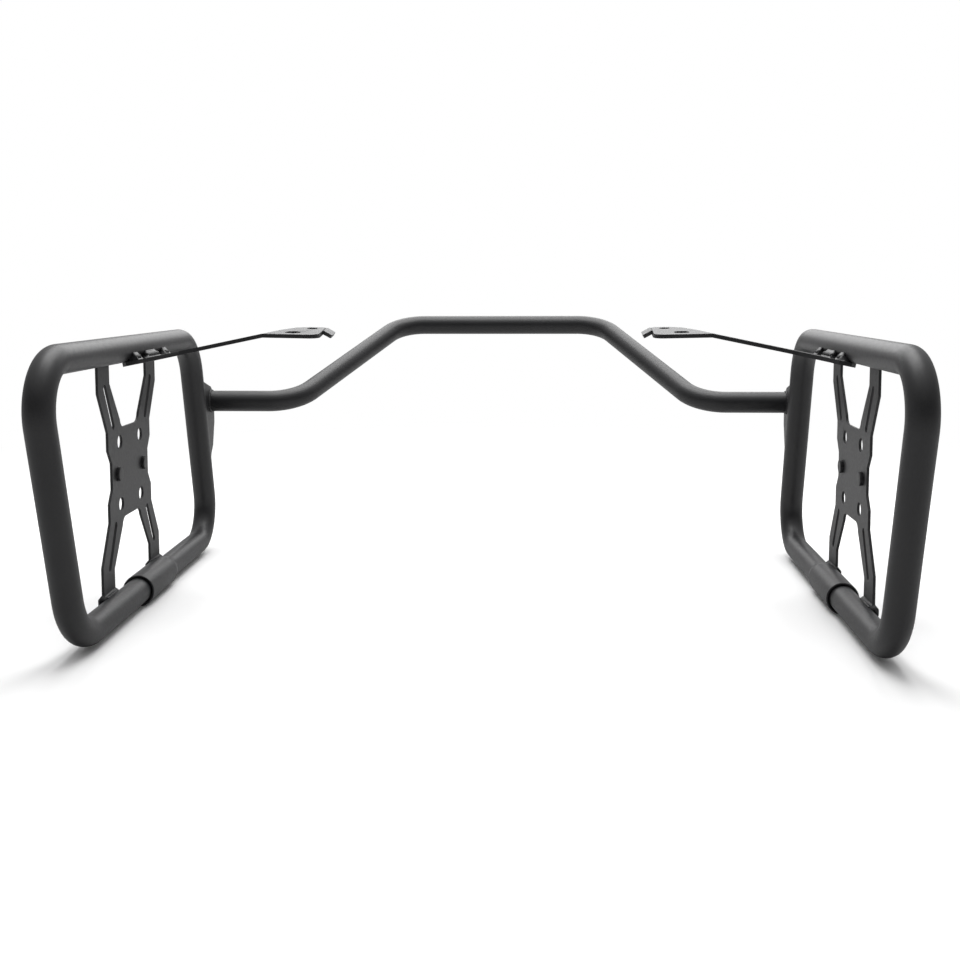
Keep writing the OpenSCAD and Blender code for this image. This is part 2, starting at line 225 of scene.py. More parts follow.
@dataclass(frozen=True)
class Ring:
    """One ring of a swept tube.

    Attributes:
        centre: Middle of the ring.
        along: Direction of the run.
        radius: Radius of the ring.
    """

    centre: Vector
    along: Vector
    radius: float


@dataclass(frozen=True)
class Corner:
    """A theoretical corner of a bent tube.

    Attributes:
        place: Where the tube's axes would meet.
        bend_r: Radius of the bend, on the axis.
    """

    place: Vector
    bend_r: float


def bend_rings(before: Vector, corner: Corner, after: Vector, radius: float, step_deg: float = 3.0) -> list[Ring]:
    """Rings of one round bend.

    Args:
        before: A place on the leg before it.
        corner: The corner that the bend rounds off.
        after: A place on the leg behind it.
        radius: Radius of the tube.
        step_deg: Largest turn between two rings.

    Returns:
        The rings from the bend's start to its end.
    """
    way_in = (corner.place - before).normalized()
    way_out = (after - corner.place).normalized()
    turn = way_in.angle(way_out)
    setback = corner.bend_r * math.tan(turn / 2)
    start = corner.place - way_in * setback
    side = (way_out - way_in * way_out.dot(way_in)).normalized()
    middle = start + side * corner.bend_r
    steps = max(2, math.ceil(math.degrees(turn) / step_deg))
    rings = []
    for k in range(steps + 1):
        a = turn * k / steps
        centre = middle - side * (corner.bend_r * math.cos(a)) + way_in * (corner.bend_r * math.sin(a))
        rings.append(Ring(centre, way_in * math.cos(a) + side * math.sin(a), radius))
    return rings


def sweep(
    rings: list[Ring], normal: Vector, around: int, closed: bool
) -> tuple[list[Vector], list[tuple[int, ...]]]:
    """Skin through the rings of a planar tube.

    Args:
        rings: The rings in order.
        normal: Normal of the plane that the tube's axis lies in.
        around: Number of corners round a ring.
        closed: Whether the last ring joins the first; otherwise both ends are capped.

    Returns:
        Corners and faces.
    """
    points = []
    for ring in rings:
        across = ring.along.cross(normal)
        for k in range(around):
            a = 2 * math.pi * k / around
            points.append(ring.centre + (normal * math.cos(a) + across * math.sin(a)) * ring.radius)
    faces = []
    for i in range(len(rings) if closed else len(rings) - 1):
        j = (i + 1) % len(rings)
        for k in range(around):
            m = (k + 1) % around
            faces.append((i * around + k, i * around + m, j * around + m, j * around + k))
    if not closed:
        faces.append(tuple(range(around)))
        faces.append(tuple((len(rings) - 1) * around + k for k in range(around)))
    return points, faces


# Shader node groups


def new_group(name: str, inputs: dict[str, float], outputs: dict[str, str]) -> bpy.types.NodeTree:
    """Makes an empty shader group with named sockets.

    Args:
        name: Name of the group.
        inputs: Names of the number inputs with their defaults.
        outputs: Names of the outputs with their socket types.

    Returns:
        The new node tree.
    """
    tree = bpy.data.node_groups.new(name, "ShaderNodeTree")
    for label, value in inputs.items():
        socket = tree.interface.new_socket(label, in_out="INPUT", socket_type="NodeSocketFloat")
        socket.default_value = value
    for label, kind in outputs.items():
        tree.interface.new_socket(label, in_out="OUTPUT", socket_type=kind)
    return tree


def coat_grain_group() -> bpy.types.NodeTree:
    """Fine grain of powder coat, with soft clouds of tone.

    Returns:
        A group with a grain height, a tone factor and a roughness factor, each from 0 to 1.
    """
    tree = new_group(
        "powder_coat_grain",
        {"Grain per metre": 2200.0, "Clouds per metre": 18.0, "Peel per metre": 420.0},
        {"Height": "NodeSocketFloat", "Tone": "NodeSocketFloat", "Dullness": "NodeSocketFloat"},
    )
    nodes, links = tree.nodes, tree.links
    entry = nodes.new("NodeGroupInput")
    result = nodes.new("NodeGroupOutput")
    place = nodes.new("ShaderNodeTexCoord")
    grain = nodes.new("ShaderNodeTexNoise")
    grain.inputs["Detail"].default_value = 3.0
    grain.inputs["Roughness"].default_value = 0.6
    peel = nodes.new("ShaderNodeTexNoise")
    peel.inputs["Detail"].default_value = 1.0
    clouds = nodes.new("ShaderNodeTexNoise")
    clouds.inputs["Detail"].default_value = 4.0
    for noise, label in ((grain, "Grain per metre"), (peel, "Peel per metre"), (clouds, "Clouds per metre")):
        links.new(place.outputs["Object"], noise.inputs["Vector"])
        links.new(entry.outputs[label], noise.inputs["Scale"])
    height = nodes.new("ShaderNodeMath")
    height.operation = "MULTIPLY_ADD"
    height.inputs[1].default_value = 0.7
    scaled_peel = nodes.new("ShaderNodeMath")
    scaled_peel.operation = "MULTIPLY"
    scaled_peel.inputs[1].default_value = 0.3
    links.new(peel.outputs["Fac"], scaled_peel.inputs[0])
    links.new(grain.outputs["Fac"], height.inputs[0])
    links.new(scaled_peel.outputs[0], height.inputs[2])
    links.new(height.outputs[0], result.inputs["Height"])
    tone = nodes.new("ShaderNodeMapRange")
    tone.inputs["From Min"].default_value = 0.3
    tone.inputs["From Max"].default_value = 0.7
    mixed = nodes.new("ShaderNodeMath")
    mixed.operation = "MULTIPLY_ADD"
    mixed.inputs[1].default_value = 0.55
    speck = nodes.new("ShaderNodeMath")
    speck.operation = "MULTIPLY"
    speck.inputs[1].default_value = 0.45
    links.new(grain.outputs["Fac"], speck.inputs[0])
    links.new(clouds.outputs["Fac"], mixed.inputs[0])
    links.new(speck.outputs[0], mixed.inputs[2])
    links.new(mixed.outputs[0], tone.inputs["Value"])
    links.new(tone.outputs[0], result.inputs["Tone"])
    links.new(peel.outputs["Fac"], result.inputs["Dullness"])
    return tree


@dataclass
class PowderCoat:
    """Fine-texture black powder coat.

    Attributes:
        name: Name of the material.
        grain: The grain's node group.
        dark: Colour in the darker clouds.
        light: Colour in the lighter clouds.
        roughness: Lowest and highest roughness.
        bump: Strength of the grain's bump.
        depth: Height of the grain in metres.
        grain_per_m: How fine the grain is.
    """

    name: str
    grain: bpy.types.NodeTree
    dark: tuple[float, float, float] = (0.011, 0.011, 0.012)
    light: tuple[float, float, float] = (0.021, 0.021, 0.023)
    roughness: tuple[float, float] = (0.38, 0.5)
    bump: float = 0.25
    depth: float = 0.00012
    grain_per_m: float = 2200.0

    def build(self) -> bpy.types.Material:
        """Builds the material.

        Returns:
            The finished material.
        """
        material = bpy.data.materials.new(self.name)
        material.use_nodes = True
        nodes, links = material.node_tree.nodes, material.node_tree.links
        shader = nodes["Principled BSDF"]
        shader.inputs["Specular IOR Level"].default_value = 0.5
        shader.inputs["Metallic"].default_value = 0.0
        group = nodes.new("ShaderNodeGroup")
        group.node_tree = self.grain
        group.inputs["Grain per metre"].default_value = self.grain_per_m
        colour = nodes.new("ShaderNodeMix")
        colour.data_type = "RGBA"
        colour.inputs["A"].default_value = (*self.dark, 1.0)
        colour.inputs["B"].default_value = (*self.light, 1.0)
        links.new(group.outputs["Tone"], colour.inputs["Factor"])
        links.new(colour.outputs["Result"], shader.inputs["Base Color"])
        dull = nodes.new("ShaderNodeMapRange")
        dull.inputs["To Min"].default_value = self.roughness[0]
        dull.inputs["To Max"].default_value = self.roughness[1]
        links.new(group.outputs["Dullness"], dull.inputs["Value"])
        links.new(dull.outputs[0], shader.inputs["Roughness"])
        bump = nodes.new("ShaderNodeBump")
        bump.inputs["Strength"].default_value = self.bump
        bump.inputs["Distance"].default_value = self.depth
        links.new(group.outputs["Height"], bump.inputs["Height"])
        links.new(bump.outputs["Normal"], shader.inputs["Normal"])
        return material


# Tubes


@dataclass
class Hoop:
    """One bent tube hoop, closed by a slip joint in its bottom rail.

    Attributes:
        side: Which side it stands on.
        around: Number of corners round the tube.
        lip: Rounding of the socket's mouth.
        taper_rings: Number of rings in the socket's taper.
    """

    side: Side
    around: int = 64
    lip: float = 0.35
    taper_rings: int = 8

    def corners(self) -> list[Corner]:
        """The four corners, from the far lower one round to the near lower one."""
        s = SIZES
        half, lean = s.rail_len / 2, s.hoop_lean / 2
        return [
            Corner(Vector((0.0, half + lean, -s.half_h)), s.sharp_bend_r),
            Corner(Vector((0.0, half - lean, s.half_h)), s.open_bend_r),
            Corner(Vector((0.0, -half - lean, s.half_h)), s.sharp_bend_r),
            Corner(Vector((0.0, -half + lean, -s.half_h)), s.open_bend_r),
        ]

    def socket_rings(self) -> list[Ring]:
        """Rings from inside the mouth's gap over the lip to the end of the taper."""
        s = SIZES
        along = Vector((0.0, 1.0, 0.0))
        gap_r = s.tube_r + s.socket_gap
        stations = [
            (s.gap_depth, gap_r),
            (self.lip, gap_r),
            (0.0, gap_r + self.lip),
            (0.0, s.socket_r - self.lip),
            (self.lip, s.socket_r),
            (s.socket_len, s.socket_r),
        ]
        for k in range(1, self.taper_rings + 1):
            t = k / self.taper_rings
            ease = (1 - math.cos(math.pi * t)) / 2
            stations.append((s.socket_len + t * s.socket_taper, s.socket_r + (s.tube_r - s.socket_r) * ease))
        return [Ring(Vector((0.0, y - s.socket_front, -s.half_h)), along, r) for y, r in stations]

    def build(self, coat: bpy.types.Material) -> None:
        """Sweeps the hoop and coats it.

        Args:
            coat: The finish of the tubes.
        """
        s = SIZES
        corners = self.corners()
        rings = self.socket_rings()
        for k, corner in enumerate(corners):
            before = corners[k - 1].place
            after = corners[(k + 1) % len(corners)].place
            rings.extend(bend_rings(before, corner, after, s.tube_r))
        gap_end = Vector((0.0, s.gap_depth - s.socket_front, -s.half_h))
        rings.append(Ring(gap_end, Vector((0.0, 1.0, 0.0)), s.tube_r))
        points, faces = sweep(rings, Vector((1.0, 0.0, 0.0)), self.around, closed=True)
        node = f"hoop_{self.side.word}"
        piece = make_piece(f"{node}_tube", points, faces, s.side_matrix(self.side))
        finish_piece(piece, coat, node)


@dataclass
class Crossbar:
    """The bent tube that joins the two hoops behind the tail.

    Attributes:
        around: Number of corners round the tube.
    """

    around: int = 64

    def build(self, coat: bpy.types.Material) -> None:
        """Sweeps the crossbar and coats it.

        Args:
            coat: The finish of the tubes.
        """
        s = SIZES
        place = (
            Matrix.Scale(MM, 4)
            @ Matrix.Translation((0.0, s.bar_y - s.mid_y, s.hoop_z + s.bar_z))
            @ Matrix.Rotation(math.atan2(s.bar_rise, s.bar_back), 4, "X")
        )
        reach = math.hypot(s.bar_back, s.bar_rise)
        spots = [
            Vector((-s.hoop_spacing / 2, 0.0, 0.0)),
            Vector((-s.bar_low_half, 0.0, 0.0)),
            Vector((-s.bar_top_half, reach, 0.0)),
            Vector((s.bar_top_half, reach, 0.0)),
            Vector((s.bar_low_half, 0.0, 0.0)),
            Vector((s.hoop_spacing / 2, 0.0, 0.0)),
        ]
        along = Vector((1.0, 0.0, 0.0))
        rings = [Ring(spots[0], along, s.tube_r)]
        for before, corner, after in zip(spots, spots[1:], spots[2:]):
            rings.extend(bend_rings(before, Corner(corner, s.bar_bend_r), after, s.tube_r))
        rings.append(Ring(spots[-1], along, s.tube_r))
        points, faces = sweep(rings, Vector((0.0, 0.0, 1.0)), self.around, closed=False)
        self.cut_ends(points, place)
        piece = make_piece("crossbar_tube", points, faces, place)
        finish_piece(piece, coat, "crossbar")

    def cut_ends(self, points: list[Vector], place: Matrix) -> None:
        """Slides the corners of both end rings onto the brackets' inner faces.

        Args:
            points: All corners, changed in place.
            place: Matrix from the bar's frame to the stay's.
        """
        s = SIZES
        toe = math.radians(s.toe_deg)
        for k in range(self.around):
            for index, sign in ((k, -1.0), (len(points) - self.around + k, 1.0)):
                back = (place @ points[index]).y / MM + s.mid_y
                inside = (s.bracket_t / 2 - math.sin(toe) * back) / math.cos(toe)
                points[index].x = sign * (s.hoop_spacing / 2 - inside)


# Sheet parts


@dataclass
class SheetPart:
    """A cut sheet part with the softened edges that powder coat gives.

    Attributes:
        node: The CAD node that it follows.
        edge_mm: Width of the softened edge.
        sharp_deg: Edges sharper than this are softened.
    """

    node: str
    edge_mm: float = 0.4
    sharp_deg: float = 40.0

    def build(self, coat: bpy.types.Material) -> None:
        """Makes the softened copy and coats it.

        Args:
            coat: The finish of the sheet parts.
        """
        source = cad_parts[self.node]
        mesh = source.data.copy()
        mesh.transform(source.matrix_world)
        work = bmesh.new()
        work.from_mesh(mesh)
        bmesh.ops.remove_doubles(work, verts=work.verts[:], dist=MERGE_M)
        bmesh.ops.dissolve_limit(
            work, angle_limit=math.radians(0.5), verts=work.verts[:], edges=work.edges[:], delimit=set()
        )
        work.to_mesh(mesh)
        work.free()
        draft = bpy.data.objects.new("sheet_draft", mesh)
        bpy.context.scene.collection.objects.link(draft)
        soften = draft.modifiers.new("soft_edge", "BEVEL")
        soften.width = self.edge_mm * MM
        soften.segments = 2
        soften.limit_method = "ANGLE"
        soften.angle_limit = math.radians(self.sharp_deg)
        soften.use_clamp_overlap = True
        soften.harden_normals = True
        depsgraph = bpy.context.evaluated_depsgraph_get()
        soft = bpy.data.meshes.new_from_object(draft.evaluated_get(depsgraph))
        bpy.data.objects.remove(draft)
        piece = bpy.data.objects.new(f"{self.node}_soft", soft)
        bpy.context.scene.collection.objects.link(piece)
        finish_piece(piece, coat, self.node)


# Weld nuts


@dataclass
class WeldNuts:
    """The two threaded bosses on a bag plate's inner face.

    Attributes:
        side: Which side they stand on.
        around: Number of corners round a nut.
        pitch: Pitch of the thread.
        thread_h: Depth of the thread.
        edge: Rounding of the closed end.
        rings_per_pitch: Rings of the bore for each turn of the thread.
        relief_out: How much wider the relief is than the bore.
    """

    side: Side
    around: int = 48
    pitch: float = 1.0
    thread_h: float = 0.45
    edge: float = 0.5
    rings_per_pitch: int = 8
    relief_out: float = 0.5

    def lathe(self) -> tuple[list[Vector], list[tuple[int, ...]]]:
        """One nut, with its axis along X and its base at X 0.

        Returns:
            Corners and faces.
        """
        s = SIZES
        outer, bore = s.nut_d / 2, s.nut_bore_d / 2
        profile = [(s.nut_h, outer - 2.2 * self.edge), (s.nut_h - 0.15 * self.edge, outer - self.edge)]
        profile += [(s.nut_h - 0.6 * self.edge, outer - 0.25 * self.edge), (s.nut_h - 1.4 * self.edge, outer)]
        profile.append((0.0, outer))
        rings = [[(x, r)] * self.around for x, r in profile]
        relief = bore + self.relief_out
        rings += [[(0.0, relief)] * self.around, [(s.nut_relief, relief)] * self.around]
        depth = s.nut_bore_depth - s.nut_relief
        count = max(2, round(depth / self.pitch * self.rings_per_pitch))
        for k in range(count + 1):
            x = s.nut_relief + depth * k / count
            ring = []
            for m in range(self.around):
                phase = (x / self.pitch + m / self.around) % 1.0
                ring.append((x, bore + self.thread_h * (1 - abs(2 * phase - 1))))
            rings.append(ring)
        points = []
        for ring in rings:
            for m, (x, r) in enumerate(ring):
                a = 2 * math.pi * m / self.around
                points.append(Vector((x, r * math.cos(a), r * math.sin(a))))
        n = self.around
        faces: list[tuple[int, ...]] = [tuple(range(n)), tuple((len(rings) - 1) * n + m for m in range(n))]
        for i in range(len(rings) - 1):
            for m in range(n):
                q = (m + 1) % n
                faces.append((i * n + m, i * n + q, (i + 1) * n + q, (i + 1) * n + m))
        return points, faces

    def build(self, coat: bpy.types.Material) -> None:
        """Makes both nuts and coats them.

        Args:
            coat: The finish of the small parts.
        """
        s = SIZES
        points: list[Vector] = []
        faces: list[tuple[int, ...]] = []
        for sign in (-1, 1):
            nut_points, nut_faces = self.lathe()
            move = Vector((-s.plate_offset + s.plate_t / 2, sign * s.nut_pitch / 2, 0.0))
            faces.extend(tuple(len(points) + k for k in face) for face in nut_faces)
            points.extend(p + move for p in nut_points)
        node = f"weld_nuts_{self.side.word}"
        piece = make_piece(f"{node}_threaded", points, faces, s.side_matrix(self.side))
        finish_piece(piece, coat, node)


# Weld beads


@dataclass(frozen=True)
class BeadRun:
    """A straight run of a weld bead, in a side's frame.

    Attributes:
        start: Middle of its first ripple.
        end: Middle of its last ripple.
        radius: Radius of the ripples across the run.
    """

    start: Vector
    end: Vector
    radius: float


class Ripples:
    """Geometry Nodes tree that lays flattened ripples at points on a bead."""

    def __init__(self) -> None:
        """Builds the tree once for all beads."""
        tree = bpy.data.node_groups.new("bead_ripples", "GeometryNodeTree")
        self.tree = tree
        tree.interface.new_socket("Geometry", in_out="INPUT", socket_type="NodeSocketGeometry")
        tree.interface.new_socket("Coat", in_out="INPUT", socket_type="NodeSocketMaterial")
        tree.interface.new_socket("Ripple length", in_out="INPUT", socket_type="NodeSocketFloat")
        tree.interface.new_socket("Geometry", in_out="OUTPUT", socket_type="NodeSocketGeometry")
        nodes, links = tree.nodes, tree.links
        entry = nodes.new("NodeGroupInput")
        result = nodes.new("NodeGroupOutput")
        coin = nodes.new("GeometryNodeMeshUVSphere")
        coin.inputs["Segments"].default_value = 14
        coin.inputs["Rings"].default_value = 8
        turn = self.named("turn", "FLOAT_VECTOR")
        radius = self.named("ripple_r", "FLOAT")
        size = nodes.new("ShaderNodeCombineXYZ")
        links.new(radius, size.inputs["X"])
        links.new(radius, size.inputs["Y"])
        links.new(entry.outputs["Ripple length"], size.inputs["Z"])
        lay = nodes.new("GeometryNodeInstanceOnPoints")
        links.new(entry.outputs["Geometry"], lay.inputs["Points"])
        links.new(coin.outputs["Mesh"], lay.inputs["Instance"])
        links.new(turn, lay.inputs["Rotation"])
        links.new(size.outputs["Vector"], lay.inputs["Scale"])
        real = nodes.new("GeometryNodeRealizeInstances")
        links.new(lay.outputs["Instances"], real.inputs["Geometry"])
        dress = nodes.new("GeometryNodeSetMaterial")
        links.new(real.outputs["Geometry"], dress.inputs["Geometry"])
        links.new(entry.outputs["Coat"], dress.inputs["Material"])
        links.new(dress.outputs["Geometry"], result.inputs["Geometry"])

    def named(self, name: str, kind: str) -> bpy.types.NodeSocket:
        """Reads a named attribute of the points.

        Args:
            name: Name of the attribute.
            kind: Its data type.

        Returns:
            The socket that carries it.
        """
        node = self.tree.nodes.new("GeometryNodeInputNamedAttribute")
        node.data_type = kind
        node.inputs["Name"].default_value = name
        return node.outputs["Attribute"]

    def socket(self, label: str) -> str:
        """Identifier of one of the tree's inputs.

        Args:
            label: Name of the input.

        Returns:
            Its identifier.
        """
        for item in self.tree.interface.items_tree:
            if item.in_out == "INPUT" and item.name == label:
                return item.identifier
        raise KeyError(label)


@dataclass
class WeldBeads:
    """All weld beads of one node: the CAD bead with ripples laid over it.

    Attributes:
        node: The CAD node.
        runs: Its straight runs, in the side's frame.
        place: Matrix from the side's frame to the stay's.
        ripples: The Geometry Nodes tree.
        pitch: Distance between two ripples.
        length: Half length of a ripple along the run.
        wobble: How much the ripples' radii differ.
    """

    node: str
    runs: list[BeadRun]
    place: Matrix
    ripples: Ripples
    pitch: float = 1.5
    length: float = 1.15
    wobble: float = 0.05

    def points(self) -> tuple[list[Vector], list[Vector], list[float]]:
        """Middles, turns and radii of all ripples, in the stay's frame in metres."""
        spots: list[Vector] = []
        turns: list[Vector] = []
        radii: list[float] = []
        for run in self.runs:
            start, end = self.place @ run.start, self.place @ run.end
            way = end - start
            count = max(1, round(way.length / (self.pitch * MM)))
            euler = way.to_track_quat("Z", "Y").to_euler()
            for k in range(count + 1):
                spots.append(start + way * (k / count))
                turns.append(Vector(euler))
                swell = 1.0 + self.wobble * math.sin(2.3 * k + 5.0 * start.z / MM)
                radii.append(run.radius * MM * swell)
        return spots, turns, radii

    def build(self, coat: bpy.types.Material) -> None:
        """Lays the ripples, adds the CAD bead's body and coats the piece.

        Args:
            coat: The finish of the welds.
        """
        spots, turns, radii = self.points()
        mesh = bpy.data.meshes.new(f"{self.node}_points")
        mesh.from_pydata(spots, [], [])
        turn = mesh.attributes.new("turn", "FLOAT_VECTOR", "POINT")
        turn.data.foreach_set("vector", [c for t in turns for c in t])
        radius = mesh.attributes.new("ripple_r", "FLOAT", "POINT")
        radius.data.foreach_set("value", radii)
        draft = bpy.data.objects.new(f"{self.node}_draft", mesh)
        bpy.context.scene.collection.objects.link(draft)
        lay = draft.modifiers.new("ripples", "NODES")
        lay.node_group = self.ripples.tree
        lay[self.ripples.socket("Coat")] = coat
        lay[self.ripples.socket("Ripple length")] = self.length * MM
        depsgraph = bpy.context.evaluated_depsgraph_get()
        rippled = bpy.data.meshes.new_from_object(draft.evaluated_get(depsgraph))
        bpy.data.objects.remove(draft)
        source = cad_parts[self.node]
        body = source.data.copy()
        body.transform(source.matrix_world)
        work = bmesh.new()
        work.from_mesh(body)
        bmesh.ops.remove_doubles(work, verts=work.verts[:], dist=MERGE_M)
        work.from_mesh(rippled)
        final = bpy.data.meshes.new(f"{self.node}_rippled")
        work.to_mesh(final)
        work.free()
        final.shade_smooth()
        final.set_sharp_from_angle(angle=math.radians(50.0))
        piece = bpy.data.objects.new(f"{self.node}_rippled", final)
        bpy.context.scene.collection.objects.link(piece)
        finish_piece(piece, coat, self.node)


@dataclass
class BeadPlan:
    """Where the beads of one side run, in that side's frame.

    Attributes:
        inset: How far a run ends before its bead does.
        inner_r: Radius of the ripples on a plate's inner face.
        outer_r: Radius of the ripples on a plate's outer face.
        arm_r: Radius of the ripples between rail and arm.
        bracket_r: Radius of the ripples on a bracket.
        ring_r: Radius of the ripples round the crossbar.
    """

    inset: float = 1.6
    inner_r: float = 2.1
    outer_r: float = 1.6
    arm_r: float = 2.5
    bracket_r: float = 1.7
    ring_r: float = 1.15

    def plate_runs(self) -> list[BeadRun]:
        """Runs along both faces of the bag plate's four feet."""
        s = SIZES
        runs = []
        foot_mid = s.foot_half - s.foot_w / 2
        half = s.foot_w / 2 - self.inset
        faces = (
            (-s.plate_offset + s.plate_t / 2, 1, self.inner_r),
            (-s.plate_offset - s.plate_t / 2, -1, self.outer_r),
        )
        for sign_y in (-1, 1):
            for sign_z in (-1, 1):
                for face, out, radius in faces:
                    seat = math.sqrt(s.tube_r**2 - face**2)
                    x = face + out * 0.55 * radius
                    z = sign_z * (s.half_h - seat - 0.35 * radius)
                    y = sign_y * foot_mid
                    runs.append(BeadRun(Vector((x, y - half, z)), Vector((x, y + half, z)), radius))
        return runs

    def arm_runs(self) -> list[BeadRun]:
        """Runs in the crevice between the top rail and the arm's root."""
        s = SIZES
        slope = Matrix.Rotation(-math.radians(s.arm_slope_deg), 4, "Y")
        frame_turn = Matrix.Translation((0.0, 0.0, s.half_h)) @ slope
        end_at = (s.root_w - s.end_weld_len - 1) / 2
        runs = []
        for middle, length in ((0.0, s.arm_weld_len), (-end_at, s.end_weld_len), (end_at, s.end_weld_len)):
            half = length / 2 - self.inset - 1.0
            ends = [frame_turn @ Vector((10.3, middle + k * half, -8.2)) for k in (-1, 1)]
            runs.append(BeadRun(ends[0], ends[1], self.arm_r))
        return runs

    def bracket_runs(self) -> list[BeadRun]:
        """Runs on both faces of the bracket, up the leaning upright."""
        s = SIZES
        low = s.bar_z - s.bracket_down + 8
        top = s.bar_z + s.bracket_up - 8
        turn = Matrix.Translation((0.0, s.upright_at(low), low)) @ Matrix.Rotation(s.lean, 4, "X")
        length = (top - low) / math.cos(s.lean)
        runs = []
        for sign in (-1, 1):
            x = sign * (s.bracket_t / 2 + 0.9)
            ends = [turn @ Vector((x, s.tube_r + 0.6, z)) for z in (self.inset, length - self.inset)]
            runs.append(BeadRun(ends[0], ends[1], self.bracket_r))
        return runs

    def crossbar_runs(self, facets: int = 24) -> list[BeadRun]:
        """Short runs round the crossbar's end.

        Args:
            facets: Number of runs round the tube.

        Returns:
            The runs.
        """
        s = SIZES
        runs = []
        ring_r = s.tube_r + 0.1
        for k in range(facets):
            ends = []
            for a in (2 * math.pi * k / facets, 2 * math.pi * (k + 0.5) / facets):
                y = s.bar_y + ring_r * math.cos(a)
                z = s.bar_z + ring_r * math.sin(a)
                ends.append(Vector((s.bracket_t / 2 + 0.5, y, z)))
            runs.append(BeadRun(ends[0], ends[1], self.ring_r))
        return runs


# Camera, floor and light


@dataclass(frozen=True)
class PhotoCamera:
    """The photograph's camera, fitted to the tubes' outlines.

    Attributes:
        place_mm: Where the camera stands.
        focal_px: Focal length in pixels of the photograph.
        centre_px: Where the optical axis meets the photograph.
        yaw: Turn to the left, in radians.
        pitch: Look down, in radians.
        roll: Roll about the optical axis, in radians.
        sensor_mm: Width of the sensor.
    """

    place_mm: tuple[float, float, float] = (37.05, -984.76, 245.62)
    focal_px: float = 1150.0
    centre_px: tuple[float, float] = (473.96, 390.20)
    yaw: float = 0.0521
    pitch: float = 0.0865
    roll: float = -0.0023
    sensor_mm: float = 36.0

    def build(self) -> bpy.types.Object:
        """Makes the camera and the scene's active camera.

        Returns:
            The camera object.
        """
        data = bpy.data.cameras.new("photo_camera")
        data.sensor_width = self.sensor_mm
        data.sensor_fit = "HORIZONTAL"
        data.lens = self.focal_px * self.sensor_mm / PHOTO_PX
        data.shift_x = (PHOTO_PX / 2 - self.centre_px[0]) / PHOTO_PX
        data.shift_y = (self.centre_px[1] - PHOTO_PX / 2) / PHOTO_PX
        data.clip_start = 0.01
        data.clip_end = 50.0
        camera = bpy.data.objects.new("photo_camera", data)
        bpy.context.scene.collection.objects.link(camera)
        cy, sy = math.cos(self.yaw), math.sin(self.yaw)
        cp, sp = math.cos(self.pitch), math.sin(self.pitch)
        cr, sr = math.cos(self.roll), math.sin(self.roll)
        turn = Matrix(((cy, sy, 0.0), (-sy, cy, 0.0), (0.0, 0.0, 1.0)))
        base = Matrix(((1.0, 0.0, 0.0), (0.0, 0.0, -1.0), (0.0, 1.0, 0.0)))
        tip = Matrix(((1.0, 0.0, 0.0), (0.0, cp, -sp), (0.0, sp, cp)))
        lean = Matrix(((cr, -sr, 0.0), (sr, cr, 0.0), (0.0, 0.0, 1.0)))
        to_view = lean @ tip @ base @ turn
        # the fit looks along +Z with Y down, and Blender's camera along -Z with Y up
        axes = to_view.transposed() @ Matrix.Diagonal((1.0, -1.0, -1.0))
        camera.matrix_world = Matrix.Translation(Vector(self.place_mm) * MM) @ axes.to_4x4()
        bpy.context.scene.camera = camera
        return camera


